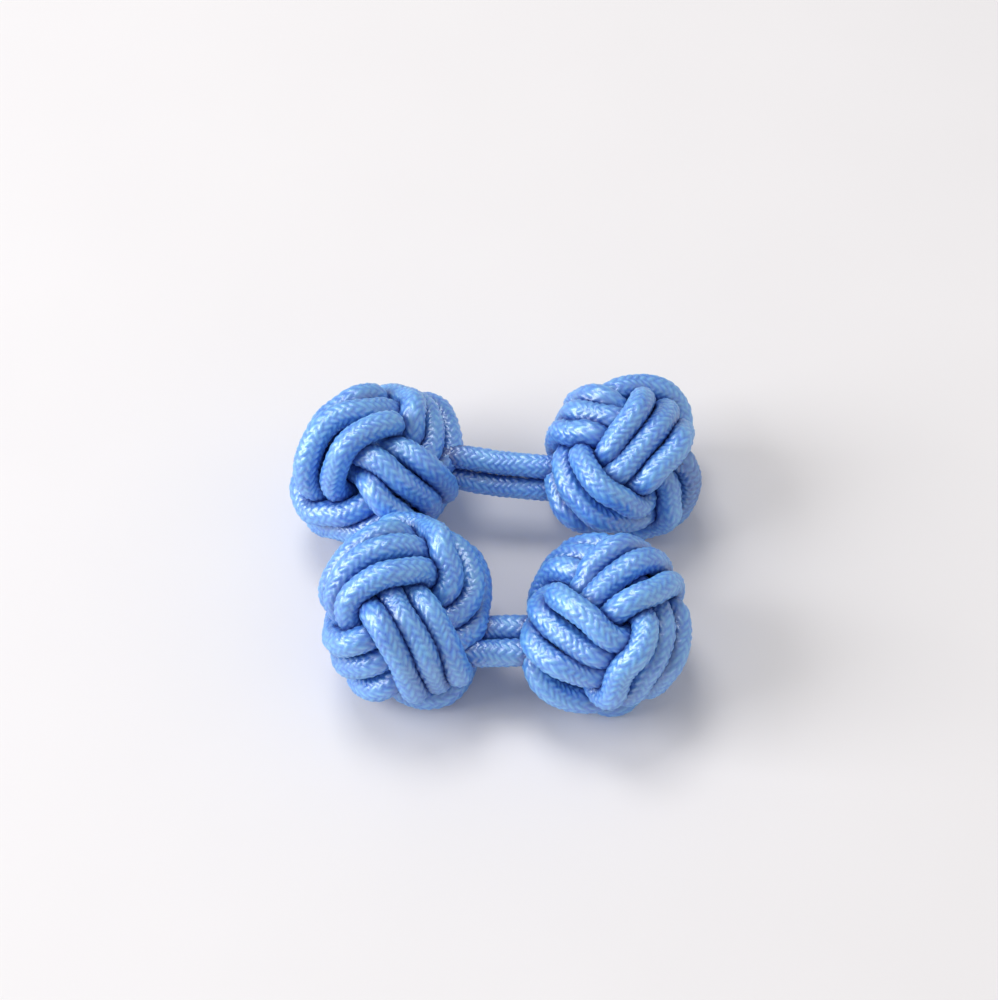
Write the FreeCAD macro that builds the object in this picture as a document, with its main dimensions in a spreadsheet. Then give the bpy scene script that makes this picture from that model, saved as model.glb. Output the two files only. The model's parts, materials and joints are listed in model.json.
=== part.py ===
import FreeCAD
import Part
import math
import os

# A pair of silk knot cufflinks lying side by side.
# Each cufflink is two round cord knots joined by a short link of two elastic strands.
# A knot is three bands of cord at right angles, three turns to a band, wound on a filler core.
# Each band passes over one of the other two and under the third, on both sides of the knot.

Vector = FreeCAD.Vector
Rotation = FreeCAD.Rotation
Placement = FreeCAD.Placement

# Driving dimensions: millimetres and degrees. Levels count pitches from a knot's centre.
SIZES = {
    # cord
    "cord_diameter": 1.3,
    "turn_gap": 0.5,
    "rubber_diameter": 0.6,
    "rubber_clearance": 0.05,
    # one band of a knot
    "band_turns": 3,
    "over_levels": 3,
    "under_levels": 2,
    "dive_level_share": 2.71,
    "dive_angle": 53.4,
    "dive_heading": 207.6,
    "step_share": 0.082,
    "tuck_slope_share": 0.2,
    # core and foot of a knot
    "core_clearance": 0.15,
    "foot_depth": 0.5,
    # link
    "strand_gap": 0.4,
    "neck_clearance": 0.2,
    # layout of the pair
    "row_gap": 1.5,
    "front_shift": 0.45,
    "rear_shift": 0.0,
    "front_knot_gap": 1.7,
    "rear_knot_gap": 5.3,
    "front_yaw": -4.0,
    "rear_yaw": 1.7,
    "front_forward": 1.1,
    "rear_forward": 0.55,
    "front_drop": 1.0,
    "rear_drop": 0.5,
    "front_pair_angle": 20.0,
    "rear_pair_angle": 75.0,
    # roll of each knot about its neck
    "front_left_roll": 289.0,
    "front_right_roll": 189.0,
    "rear_left_roll": 289.0,
    "rear_right_roll": 40.0,
    # tools for cutting
    "cut_overrun": 1.0,
}

BANDS = ("first", "second", "third")
STRANDS = {"front": ("near", "far"), "rear": ("lower", "upper")}
POINTS_PER_ARC = 7
STRAIGHT_LIMIT = 1e-9

doc = FreeCAD.newDocument("silk_knot_cufflinks")
sheet = doc.addObject("Spreadsheet::Sheet", "sizes")
for line, (alias, value) in enumerate(SIZES.items(), start=1):
    sheet.set("A%d" % line, alias)
    sheet.set("B%d" % line, str(value))
    sheet.setAlias("B%d" % line, alias)
doc.recompute()


def size(alias):
    """A driving dimension, read back from the sheet."""
    return float(sheet.get(alias))


cord_radius = size("cord_diameter") / 2
pitch = size("cord_diameter") + size("turn_gap")
ball_radius = size("over_levels") * pitch + cord_radius
row_pitch = 2 * ball_radius + size("row_gap")

# The same sums as expressions, for the objects that are bound to the sheet.
PITCH = "(sizes.cord_diameter + sizes.turn_gap)"
BALL = "(sizes.over_levels * %s + sizes.cord_diameter / 2)" % PITCH
CORE = "sizes.under_levels * %s - sizes.cord_diameter / 2 - sizes.core_clearance" % PITCH


def heading(angle, slope):
    """Unit direction at an angle in the band's plane, rising by slope along its axis."""
    direction = Vector(math.cos(math.radians(angle)), math.sin(math.radians(angle)), slope)
    return direction.normalize()


def turn_stations():
    """Angle, level and heading of every key on a band, from its first tucked end to its last.

    A turn lies over the next band at 0 and 180 degrees and under the third band at 90 and 270.
    On each side of an over-pass the cord dives steeply between those two levels.
    """
    dive = size("dive_angle")
    steep = size("dive_heading")
    stations = []
    passes = 2 * int(size("band_turns"))
    for count in range(1, passes + 1):
        top = 180 * count
        stations.append((top - dive, size("dive_level_share"), top + 180 - steep))
        stations.append((top, size("over_levels"), top + 90))
        stations.append((top + dive, size("dive_level_share"), top + steep))
        if count < passes:
            stations.append((top + 90, size("under_levels"), top + 180))
    return stations


def band_offset(angle):
    """Sideways place of the cord in its band: it steps one pitch in the upper half of each turn."""
    turn, phase = divmod(angle, 360)
    dive = size("dive_angle")
    marks = (0, dive, 90, 180 - dive, 180, 360)
    steps = (0, size("step_share"), 0.5, 1 - size("step_share"), 1, 1)
    for low, high, first, last in zip(marks, marks[1:], steps, steps[1:]):
        if low <= phase <= high:
            done = first + (last - first) * (phase - low) / (high - low)
            break
    middle_turn = (size("band_turns") + 1) / 2
    return (middle_turn - turn - done) * pitch


def band_keys():
    """Points and directions that the cord of one band passes through."""
    points = []
    angles = []
    for angle, level, way in turn_stations():
        offset = band_offset(angle)
        reach = math.sqrt((level * pitch) ** 2 - offset ** 2)
        across = math.radians(angle)
        points.append(Vector(reach * math.cos(across), reach * math.sin(across), offset))
        angles.append(way)
    directions = []
    last = len(points) - 1
    for index, way in enumerate(angles):
        if index in (0, last):
            directions.append(heading(way, -size("tuck_slope_share")))
            continue
        before = points[index - 1]
        after = points[index + 1]
        here = points[index]
        run = here.distanceToPoint(before) + after.distanceToPoint(here)
        directions.append(heading(way, (after.z - before.z) / run))
    return points, directions


def arc_between(start, direction, end):
    """The arc that leaves start in a direction and reaches end: its edge and points along it."""
    chord = end - start
    aside = chord - direction * chord.dot(direction)
    if aside.Length < STRAIGHT_LIMIT * chord.Length:
        steps = [start + chord * (step / POINTS_PER_ARC) for step in range(1, POINTS_PER_ARC + 1)]
        return Part.makeLine(start, end), steps
    aside.normalize()
    radius = chord.dot(chord) / (2 * chord.dot(aside))
    angle = 2 * math.atan2(chord.dot(aside), chord.dot(direction))

    def on_arc(part):
        sweep = angle * part
        return start + direction * (radius * math.sin(sweep)) + aside * (radius * (1 - math.cos(sweep)))

    steps = [on_arc(step / POINTS_PER_ARC) for step in range(1, POINTS_PER_ARC + 1)]
    bend_radii.append(radius)
    return Part.Arc(start, on_arc(0.5), end).toShape(), steps


def biarc(start, direction, end, last_direction):
    """Two tangent arcs from one key to the next, with equal tangent lengths at both keys."""
    chord = end - start
    along = direction + last_direction
    square = 2 * (1 - direction.dot(last_direction))
    linear = 2 * chord.dot(along)
    reach = chord.dot(chord) / linear
    if square > STRAIGHT_LIMIT:
        root = math.sqrt(linear ** 2 + 4 * square * chord.dot(chord))
        reach = (root - linear) / (2 * square)
    first_corner = start + direction * reach
    second_corner = end - last_direction * reach
    middle = (first_corner + second_corner) * 0.5
    middle_direction = (second_corner - first_corner).normalize()
    first_edge, first_points = arc_between(start, direction, middle)
    second_edge, second_points = arc_between(middle, middle_direction, end)
    return [first_edge, second_edge], first_points + second_points


def band_path():
    """Edges and points of one band's cord, with a straight tucked end of one cord diameter each way."""
    points, directions = band_keys()
    tuck = size("cord_diameter")
    first = points[0] - directions[0] * tuck
    last = points[-1] + directions[-1] * tuck
    edges = [Part.makeLine(first, points[0])]
    samples = [first, (first + points[0]) * 0.5, points[0]]
    for index in range(len(points) - 1):
        pair, steps = biarc(points[index], directions[index], points[index + 1], directions[index + 1])
        edges.extend(pair)
        samples.extend(steps)
    edges.append(Part.makeLine(points[-1], last))
    samples.extend([(last + points[-1]) * 0.5, last])
    return edges, samples, directions[0]


def least_self_gap(samples):
    """Least distance between the cord's surface and itself, away from its own neighbouring length."""
    travelled = [0.0]
    for before, after in zip(samples, samples[1:]):
        travelled.append(travelled[-1] + before.distanceToPoint(after))
    apart = ball_radius
    least = apart
    for index, here in enumerate(samples):
        for other in range(index + 1, len(samples)):
            if travelled[other] - travelled[index] > apart:
                least = min(least, here.distanceToPoint(samples[other]))
    return least - size("cord_diameter")


def least_gap(samples, others):
    """Least distance between the surfaces of two cords."""
    return min(here.distanceToPoint(there) for here in samples for there in others) - size("cord_diameter")


bend_radii = []
path_edges, path_points, path_start = band_path()
path = Part.Wire(path_edges)
section = Part.Wire([Part.makeCircle(cord_radius, path_points[0], path_start)])
winding = path.makePipeShell([section], True, False)
full_volume = math.pi * cord_radius ** 2 * path.Length
# The second and third bands are the first one turned about the knot's corner axis.
CORNER = Vector(1, 1, 1)
band_turn = {name: Rotation(CORNER, 120 * index) for index, name in enumerate(BANDS)}
next_points = [band_turn["second"].multVec(point) for point in path_points]
print("band cord length %.1f, least bend radius %.2f" % (path.Length, min(bend_radii)))
print("least gap of a winding to itself %.2f" % least_self_gap(path_points))
print("least gap between two windings %.2f" % least_gap(path_points, next_points))
print("winding volume against section times length %.4f" % (winding.Volume / full_volume))


def neck_reach(row):
    """Distance along the link from a knot's centre to where the link's axis meets the knot's round outline."""
    return math.sqrt(ball_radius ** 2 - size(row + "_forward") ** 2 - size(row + "_drop") ** 2)


def half_span(row):
    """Half the distance between the centres of a cufflink's two knots."""
    return ball_radius + size(row + "_knot_gap") / 2


def knot_rotation(row, side):
    """Turns a knot so that its corner hollow faces the link, then rolls it about that neck."""
    along = Vector(1, 0, 0)
    faces = 180 if side == "right" else 0
    forward = size(row + "_forward") * (1 if side == "right" else -1)
    neck = Vector(neck_reach(row), forward, -size(row + "_drop"))
    roll = Rotation(along, size("%s_%s_roll" % (row, side)))
    return Rotation(Vector(0, 0, 1), faces) * Rotation(along, neck) * roll * Rotation(CORNER, along)


def knot_points(rotation):
    """Points along all three bands of a turned knot, about its centre."""
    return {band: [rotation.multVec(turn.multVec(point)) for point in path_points]
            for band, turn in band_turn.items()}


def knot_height(points):
    """Height of a knot's centre, with its lowest cord let into the table by the depth of its foot."""
    lowest = min(point.z for band in points.values() for point in band)
    return cord_radius - lowest - size("foot_depth")


def row_layout(row):
    """Knot places in a cufflink's own frame, whose X runs along the link at table level."""
    layout = {}
    for side, sign in (("left", -1), ("right", 1)):
        rotation = knot_rotation(row, side)
        points = knot_points(rotation)
        centre = Vector(sign * half_span(row), 0, knot_height(points))
        layout[side] = {"place": Placement(centre, rotation), "points": points}
    mean = (layout["left"]["place"].Base.z + layout["right"]["place"].Base.z) / 2
    layout["link"] = Vector(0, -size(row + "_forward"), mean - size(row + "_drop"))
    return layout


ROWS = {"front": -1, "rear": 1}
layouts = {row: row_layout(row) for row in ROWS}
row_frames = {}
for row, sign in ROWS.items():
    base = Vector(size(row + "_shift"), sign * row_pitch / 2, 0)
    row_frames[row] = Placement(base, Rotation(Vector(0, 0, 1), size(row + "_yaw")))

# The origin is under the middle of the whole pair.
outer = []
for row in ROWS:
    for side in ("left", "right"):
        knot = layouts[row][side]
        for band in knot["points"].values():
            outer.extend(row_frames[row].multVec(knot["place"].Base + point) for point in band)
middle = Vector((min(point.x for point in outer) + max(point.x for point in outer)) / 2,
                (min(point.y for point in outer) + max(point.y for point in outer)) / 2, 0)
for row in ROWS:
    row_frames[row].Base = row_frames[row].Base - middle

nodes = []


def add_node(item, label):
    """Marks an object as one piece of the cufflinks."""
    item.Label = label
    nodes.append(item)


# The table surface, as a block that cuts the feet of the knots flat.
floor = doc.addObject("Part::Box", "table_block")
floor.setExpression("Length", "6 * %s + 2 * sizes.rear_knot_gap" % BALL)
floor.setExpression("Width", "6 * %s + 2 * sizes.row_gap" % BALL)
floor.setExpression("Height", "sizes.foot_depth + sizes.cut_overrun")
doc.recompute()
floor.Placement = Placement(Vector(-floor.Length.Value / 2, -floor.Width.Value / 2, -floor.Height.Value), Rotation())


def add_winding(name, band, knot, frame):
    """One band of a knot: three turns of cord in one tube, cut flat where it meets the table."""
    lowest = min(point.z for point in knot["points"][band]) + knot["place"].Base.z - cord_radius
    turns = doc.addObject("Part::Feature", name + "_turns")
    turns.Shape = winding
    turns.Placement = frame * knot["place"] * Placement(Vector(), band_turn[band])
    if lowest > 0:
        add_node(turns, name)
        return
    turns.Label = name + "_uncut"
    foot = doc.addObject("Part::Cut", name + "_foot")
    foot.Base = turns
    foot.Tool = floor
    add_node(foot, name)


def add_core(name, knot, frame):
    """The round filler that a knot is drawn up on."""
    core = doc.addObject("Part::Sphere", name)
    core.setExpression("Radius", CORE)
    core.Placement = frame * knot["place"]
    add_node(core, name)


def strand_axis(row, side):
    """Middle of a strand's axis; the two strands lie either side of the link's axis."""
    apart = (size("cord_diameter") + size("strand_gap")) / 2
    angle = math.radians(size(row + "_pair_angle"))
    return layouts[row]["link"] + Vector(0, math.cos(angle), math.sin(angle)) * (apart * side)


def strand_stop(row, side, knot_side):
    """Distance from a knot's centre at which a strand's square end is just clear of the cords there.

    A cord point beside the strand by more than its radius lets the end come closer, as a circle does.
    """
    axis = strand_axis(row, side)
    knot = layouts[row][knot_side]
    towards = 1 if knot_side == "left" else -1
    reach = cord_radius + size("neck_clearance")
    stop = 0.0
    for band in knot["points"].values():
        for point in band:
            place = knot["place"].Base + point
            beside = math.hypot(place.y - axis.y, place.z - axis.z) - cord_radius
            beside = max(beside, 0.0)
            if beside < reach:
                stop = max(stop, towards * point.x + math.sqrt(reach ** 2 - beside ** 2))
    return stop


def add_strand(row, name, side):
    """One elastic strand of a link: a braided sheath on a rubber core, from hollow to hollow."""
    label = "%s_%s" % (row, name)
    start = strand_axis(row, side)
    start.x = strand_stop(row, side, "left") - half_span(row)
    length = half_span(row) - strand_stop(row, side, "right") - start.x
    place = row_frames[row] * Placement(start, Rotation(Vector(0, 1, 0), 90))
    cord = doc.addObject("Part::Cylinder", label + "_cord")
    cord.setExpression("Radius", "sizes.cord_diameter / 2")
    cord.Height = length
    cord.Placement = place
    bore = doc.addObject("Part::Cylinder", label + "_bore")
    bore.setExpression("Radius", "sizes.rubber_diameter / 2 + sizes.rubber_clearance")
    bore.Height = length + 2 * size("cut_overrun")
    bore.Placement = place * Placement(Vector(0, 0, -size("cut_overrun")), Rotation())
    sheath = doc.addObject("Part::Cut", label + "_sheath_cut")
    sheath.Base = cord
    sheath.Tool = bore
    add_node(sheath, label + "_strand")
    rubber = doc.addObject("Part::Cylinder", label + "_rubber_core")
    rubber.setExpression("Radius", "sizes.rubber_diameter / 2")
    rubber.setExpression("Height", "%s.Height" % cord.Name)
    rubber.Placement = place
    add_node(rubber, label + "_rubber")
    print("%s strand is %.2f long" % (label, length))


for row in ROWS:
    for knot_side in ("left", "right"):
        title = "%s_%s" % (row, knot_side)
        for band_name in BANDS:
            add_winding("%s_%s_winding" % (title, band_name), band_name, layouts[row][knot_side], row_frames[row])
        add_core(title + "_core", layouts[row][knot_side], row_frames[row])
    for strand_name, strand_side in zip(STRANDS[row], (-1, 1)):
        add_strand(row, strand_name, strand_side)

doc.recompute()
for item in doc.Objects:
    if "Invalid" in item.State or "Error" in item.State:
        raise RuntimeError("%s did not build" % item.Label)
for item in nodes:
    if item.Shape.isNull() or not item.Shape.isValid():
        raise RuntimeError("%s has no valid shape" % item.Label)

# Places that a user of the part needs: knot centres and neck pivots.
for row in ROWS:
    frame = row_frames[row]
    for knot_side, sign in (("left", -1), ("right", 1)):
        centre = frame.multVec(layouts[row][knot_side]["place"].Base)
        neck = Vector(sign * (half_span(row) - neck_reach(row)), layouts[row]["link"].y, layouts[row]["link"].z)
        pivot = frame.multVec(neck)
        print("%s %s knot centre %.4f %.4f %.4f neck %.4f %.4f %.4f"
              % (row, knot_side, centre.x, centre.y, centre.z, pivot.x, pivot.y, pivot.z))

os.makedirs("parts", exist_ok=True)
for item in nodes:
    item.Shape.exportStep("parts/%s.step" % item.Label)
print("%d pieces written" % len(nodes))
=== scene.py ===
# %% [markdown]
# # A pair of silk knot cufflinks
# Each cufflink is two round knots of braided cord, joined by two short elastic strands.
# Nothing here is metal: the whole object is one blue cord, so its looks are the way the cord
# lies, the fine braid on it and the deep shade between its turns.
# The solids come first. Their places are the frame that every new piece is built on.

# %% Load the solids
import json
import math

import bpy
import numpy as np
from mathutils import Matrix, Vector


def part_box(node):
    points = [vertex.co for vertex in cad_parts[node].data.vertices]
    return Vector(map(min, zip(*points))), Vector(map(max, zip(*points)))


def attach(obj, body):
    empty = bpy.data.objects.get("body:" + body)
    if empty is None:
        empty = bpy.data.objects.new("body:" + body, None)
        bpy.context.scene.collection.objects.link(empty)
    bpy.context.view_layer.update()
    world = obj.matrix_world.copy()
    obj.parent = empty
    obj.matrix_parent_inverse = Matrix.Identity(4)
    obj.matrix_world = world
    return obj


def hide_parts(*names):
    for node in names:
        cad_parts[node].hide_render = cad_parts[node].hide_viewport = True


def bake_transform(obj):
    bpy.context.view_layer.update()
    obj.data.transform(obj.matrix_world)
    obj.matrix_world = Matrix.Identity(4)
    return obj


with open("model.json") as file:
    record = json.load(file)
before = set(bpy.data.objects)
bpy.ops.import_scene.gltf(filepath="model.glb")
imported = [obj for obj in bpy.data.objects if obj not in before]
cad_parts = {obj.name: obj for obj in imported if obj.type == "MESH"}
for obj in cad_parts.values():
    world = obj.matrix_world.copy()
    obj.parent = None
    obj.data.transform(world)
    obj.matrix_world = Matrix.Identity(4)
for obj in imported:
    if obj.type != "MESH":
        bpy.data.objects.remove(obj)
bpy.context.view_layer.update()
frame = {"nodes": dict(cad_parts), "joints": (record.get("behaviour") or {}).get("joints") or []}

MM = 0.001
TINY = 1e-9

# %% [markdown]
# ## Where the knots and necks are
# A knot's middle is the middle of its filler core. Its neck, where the link leaves it, is the hinge
# of that neck, and the link's direction is the slide that lets the link stretch. All three are read
# from the frame, so the knots stay where the solids are. Lengths below are in millimetres.

# %% Places read from the frame
ROWS = {"front": ("near", "far"), "rear": ("lower", "upper")}
SIDES = ("left", "right")
BANDS = ("first", "second", "third")
joints = {joint["name"]: joint for joint in frame["joints"]}


def middle_of(node):
    """Middle of a solid's box, in millimetres."""
    low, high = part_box(node)
    return np.array((low + high) / 2) / MM


knot_middle = {}
neck = {}
link_way = {}
for row in ROWS:
    link_way[row] = np.array(joints[row + "_stretch"]["axis"], float)
    for side in SIDES:
        knot = row + "_" + side
        knot_middle[knot] = middle_of(knot + "_core")
        neck[knot] = np.array(joints[knot + "_tip"]["pos_m"], float) / MM
        print(knot, "middle", knot_middle[knot].round(2), "neck", neck[knot].round(2))

# %% [markdown]
# ## The camera
# The camera comes before the cord, because the cord is laid by what its picture shows. It looks down
# at the pair at 55 degrees. Its place was found by matching the outlines of the four knots, and its
# focal length is given in pixels of a picture of 998 by 1000.

# %% Camera
PICTURE_WIDTH = 998
PICTURE_HEIGHT = 1000
FOCAL_PIXELS = 2684.5
AIM = np.array((-0.043, 3.883, 5.0))
DISTANCE = 190.0
AZIMUTH = math.radians(0.11)
ELEVATION = math.radians(55.0)
CLIP_START = 0.005
picture_right = np.array((math.cos(AZIMUTH), math.sin(AZIMUTH), 0.0))
to_camera = np.array((math.sin(AZIMUTH) * math.cos(ELEVATION), -math.cos(AZIMUTH) * math.cos(ELEVATION),
                      math.sin(ELEVATION)))
picture_up = np.cross(to_camera, picture_right)
camera_place = AIM + to_camera * DISTANCE


def to_picture(points):
    """Pixels across and down, and depth in mm: focal length times the offset aside, over the depth."""
    offset = points - camera_place
    depth = -offset @ to_camera
    across = PICTURE_WIDTH / 2 + FOCAL_PIXELS * (offset @ picture_right) / depth
    down = PICTURE_HEIGHT / 2 - FOCAL_PIXELS * (offset @ picture_up) / depth
    return np.stack((across, down), axis=1), depth


camera_data = bpy.data.cameras.new("camera")
camera_data.lens = FOCAL_PIXELS / PICTURE_HEIGHT * camera_data.sensor_width
camera_data.clip_start = CLIP_START
camera = bpy.data.objects.new("camera", camera_data)
camera.location = camera_place * MM
camera.rotation_mode = "QUATERNION"
camera.rotation_quaternion = Vector(-to_camera).to_track_quat("-Z", "Y")
bpy.context.scene.collection.objects.link(camera)
bpy.context.scene.camera = camera
bpy.context.scene.view_settings.view_transform = "Standard"
print("camera lens", round(camera_data.lens, 1), "mm")

# %% [markdown]
# ## Turning a knot
# Two small rotations do all the turning: one about an axis, and the shortest one that takes a
# direction onto another. A knot is built square to the axes, with the hollow at its (1, 1, 1)
# corner as the neck, then turned so that this corner faces the link, and rolled about it.

# %% Turns
CORNER = np.array((1.0, 1.0, 1.0))
ROLL = {"front_left": 289.0, "front_right": 189.0, "rear_left": 289.0, "rear_right": 40.0}


def turn_about(axis, degrees):
    """Rotation matrix about an axis: I + sin(a) K + (1 - cos(a)) K K, where K crosses with the axis."""
    x, y, z = np.asarray(axis, float) / np.linalg.norm(axis)
    cross = np.array(((0, -z, y), (z, 0, -x), (-y, x, 0)))
    angle = math.radians(degrees)
    return np.eye(3) + math.sin(angle) * cross + (1 - math.cos(angle)) * cross @ cross


def turn_onto(start, end):
    """Shortest rotation that takes one direction onto another."""
    axis = np.cross(start, end)
    if np.linalg.norm(axis) < TINY:
        return np.eye(3)
    return turn_about(axis, math.degrees(math.atan2(np.linalg.norm(axis), np.dot(start, end))))


def knot_turn(knot):
    """Rotation of a whole knot: corner to the link's way, then roll, then the neck's own lean."""
    row, side = knot.split("_")
    facing = link_way[row] * (1 if side == "left" else -1)
    square = np.stack((facing, np.cross((0, 0, 1), facing), (0, 0, 1)), axis=1)
    lean = turn_onto(facing, neck[knot] - knot_middle[knot])
    return lean @ square @ turn_about((1, 0, 0), ROLL[knot]) @ turn_onto(CORNER, (1, 0, 0))


print("degrees that each knot is rolled about its neck:", ROLL)

# %% [markdown]
# ## The path of one band
# A band is three turns of cord round the ball. On two opposite sides a turn lies over the next band,
# three cords from the middle, and on the other two it lies under the third band, two cords from
# the middle. Between these levels it dives through the narrow place between the two bands. The
# turns lie side by side because the cord steps one cord aside each time round, while it is hidden.
# The level is a smooth curve through a few angles, so the path needs no drawing by hand.

# %% Band path
CORD = 1.8
TURNS = 3
OVER = 3.0
UNDER = 2.0
SHOULDER = (27.0, 2.955, -0.12)
DIVE = (54.5, 2.35, -3.66)
STEP_ANGLES = (35.0, 145.0)
TUCK = 1.4
POINTS = 180
FINE = 40


def ease(share):
    """Smooth step from 0 to 1: 3 t^2 - 2 t^3."""
    share = np.clip(share, 0, 1)
    return share * share * (3 - 2 * share)


def smooth_through(x, keys, values, slopes):
    """Cubic curve through keys with given slopes: the Hermite sum on each stretch."""
    index = np.clip(np.searchsorted(keys, x, side="right") - 1, 0, len(keys) - 2)
    width = keys[index + 1] - keys[index]
    t = (x - keys[index]) / width
    return ((1 + 2 * t) * (1 - t) ** 2 * values[index] + t * (1 - t) ** 2 * width * slopes[index]
            + t * t * (3 - 2 * t) * values[index + 1] + t * t * (t - 1) * width * slopes[index + 1])


def even_points(points, count):
    """The same path with points evenly spaced along it."""
    run = np.concatenate(([0], np.cumsum(np.linalg.norm(np.diff(points, axis=0), axis=1))))
    marks = np.linspace(0, run[-1], count)
    return np.stack([np.interp(marks, run, points[:, axis]) for axis in range(3)], axis=1)


def band_path():
    """Points of one band about the knot's middle, in millimetres.

    At angle a the cord is level(a) cords from the middle and steps aside by one cord per turn;
    the part of the level that is left in the band's plane is sqrt(level^2 - aside^2).
    """
    keys, levels, slopes = [], [], []
    for count in range(1, 2 * TURNS + 1):
        top = 180.0 * count
        for sign, (angle, level, slope) in ((-1, DIVE), (-1, SHOULDER), (1, SHOULDER), (1, DIVE)):
            keys.append(top + sign * angle)
            levels.append(level)
            slopes.append(sign * slope)
        keys.append(top)
        levels.append(OVER)
        slopes.append(0.0)
        if count < 2 * TURNS:
            keys.append(top + 90)
            levels.append(UNDER)
            slopes.append(0.0)
    order = np.argsort(keys)
    keys = np.radians(np.array(keys)[order])
    angle = np.linspace(keys[0], keys[-1], FINE * POINTS)
    level = smooth_through(angle, keys, np.array(levels)[order], np.array(slopes)[order])
    turn, phase = np.divmod(np.degrees(angle), 360)
    low, high = STEP_ANGLES
    aside = (TURNS + 1) / 2 - turn - ease((phase - low) / (high - low))
    reach = np.sqrt(level ** 2 - aside ** 2)
    path = np.stack((reach * np.cos(angle), reach * np.sin(angle), aside), axis=1) * CORD
    first = path[0] - path[1]
    last = path[-1] - path[-2]
    first = path[0] + first / np.linalg.norm(first) * TUCK
    last = path[-1] + last / np.linalg.norm(last) * TUCK
    return even_points(np.concatenate(([first], path, [last])), POINTS)


one_band = band_path()
square_knot = np.stack([one_band @ turn_about(CORNER, 120 * index).T for index in range(len(BANDS))])
turned = np.degrees(np.unwrap(np.arctan2(one_band[:, 1], one_band[:, 0])))
PASSES = np.searchsorted(turned, 180 * np.arange(1, 2 * TURNS + 1))
print("a band's cord is", np.linalg.norm(np.diff(one_band, axis=0), axis=1).sum().round(1), "mm long")

# %% [markdown]
# ## What the photograph shows of the cord
# Each band passes over its neighbour six times, twice in each turn. The passes that the camera sees
# were read off the photograph, as a few points along the middle of each run of cord, in
# its pixels. They are listed by band and by the number of the pass, and say how each of the four
# knots was really drawn up: one taller, one smaller, every turn a little aside. The outline of
# each knot was picked too, with a guess where another knot hides it.

# %% Runs seen in the photograph
SEEN = {
    "front_left": {
        ("first", 2): ((412, 590), (430, 612), (446, 640), (456, 676)),
        ("first", 4): ((392, 600), (413, 630), (428, 660), (435, 680)),
        ("first", 6): ((373, 612), (386, 634), (403, 662)),
        ("second", 1): ((428, 572), (395, 573), (365, 584), (347, 612)),
        ("second", 2): ((403, 687), (422, 696), (442, 697), (458, 690)),
        ("second", 3): ((422, 551), (395, 546), (362, 557), (342, 580), (337, 603)),
        ("second", 5): ((405, 538), (385, 531), (360, 541), (342, 557), (331, 580)),
        ("third", 1): ((362, 690), (382, 684), (403, 674)),
        ("third", 2): ((474, 552), (483, 580), (482, 607)),
        ("third", 3): ((345, 663), (363, 664), (385, 655)),
        ("third", 4): ((458, 545), (470, 572), (469, 602)),
        ("third", 5): ((334, 638), (355, 640), (372, 634)),
        ("third", 6): ((386, 517), (405, 520), (424, 527), (440, 545), (448, 568), (445, 592)),
    },
    "front_right": {
        ("first", 2): ((530, 640), (549, 658), (573, 669), (592, 676)),
        ("first", 4): ((539, 612), (556, 629), (580, 647), (605, 659)),
        ("first", 6): ((555, 590), (577, 606), (598, 626), (620, 643)),
        ("second", 1): ((645, 622), (641, 645), (618, 673), (601, 689)),
        ("second", 2): ((540, 594), (551, 578), (572, 572)),
        ("second", 3): ((661, 617), (661, 645), (640, 679), (624, 692)),
        ("second", 4): ((556, 563), (574, 557)),
        ("second", 5): ((681, 624), (680, 655), (662, 681)),
        ("second", 6): ((570, 546), (592, 541)),
        ("third", 1): ((584, 580), (597, 562), (612, 550), (632, 543)),
        ("third", 2): ((587, 690), (600, 703), (625, 703)),
        ("third", 3): ((598, 592), (615, 577), (634, 564), (660, 560)),
        ("third", 4): ((557, 672), (565, 690), (576, 703)),
        ("third", 5): ((619, 608), (640, 599), (660, 588), (677, 584)),
        ("third", 6): ((533, 656), (536, 675), (546, 693)),
    },
    "rear_left": {
        ("first", 2): ((374, 451), (392, 448), (416, 458), (446, 487)),
        ("first", 4): ((385, 467), (400, 480), (428, 505)),
        ("first", 6): ((361, 468), (378, 497), (405, 521)),
        ("second", 1): ((395, 423), (365, 432), (345, 450), (335, 472), (335, 490)),
        ("second", 3): ((378, 411), (346, 414), (322, 430), (308, 460), (310, 486)),
        ("second", 5): ((372, 393), (352, 395), (338, 404)),
        ("third", 2): ((434, 400), (448, 414), (453, 436)),
        ("third", 3): ((318, 530), (345, 530)),
        ("third", 4): ((377, 407), (384, 399), (404, 397), (424, 407), (432, 426), (431, 441)),
        ("third", 5): ((301, 492), (317, 513), (340, 513), (363, 508)),
        ("third", 6): ((410, 420), (412, 434)),
    },
    "rear_right": {
        ("first", 1): ((606, 455), (622, 431), (640, 411), (654, 399)),
        ("first", 3): ((619, 472), (637, 452), (655, 431), (668, 415)),
        ("first", 5): ((640, 485), (658, 467), (677, 448), (687, 431)),
        ("second", 2): ((551, 478), (557, 504), (570, 525)),
        ("second", 4): ((563, 463), (571, 486), (586, 507), (605, 520)),
        ("second", 5): ((612, 390), (630, 384), (650, 383), (668, 391), (681, 406)),
        ("second", 6): ((580, 454), (591, 476), (606, 491), (627, 502), (640, 504)),
        ("third", 1): ((669, 488), (667, 507), (652, 522), (628, 531)),
        ("third", 2): ((553, 440), (575, 435), (598, 437)),
        ("third", 3): ((690, 472), (691, 497), (681, 518)),
        ("third", 4): ((572, 413), (590, 413), (606, 420)),
        ("third", 6): ((570, 400), (590, 396), (608, 402), (617, 412)),
    },
}
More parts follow.
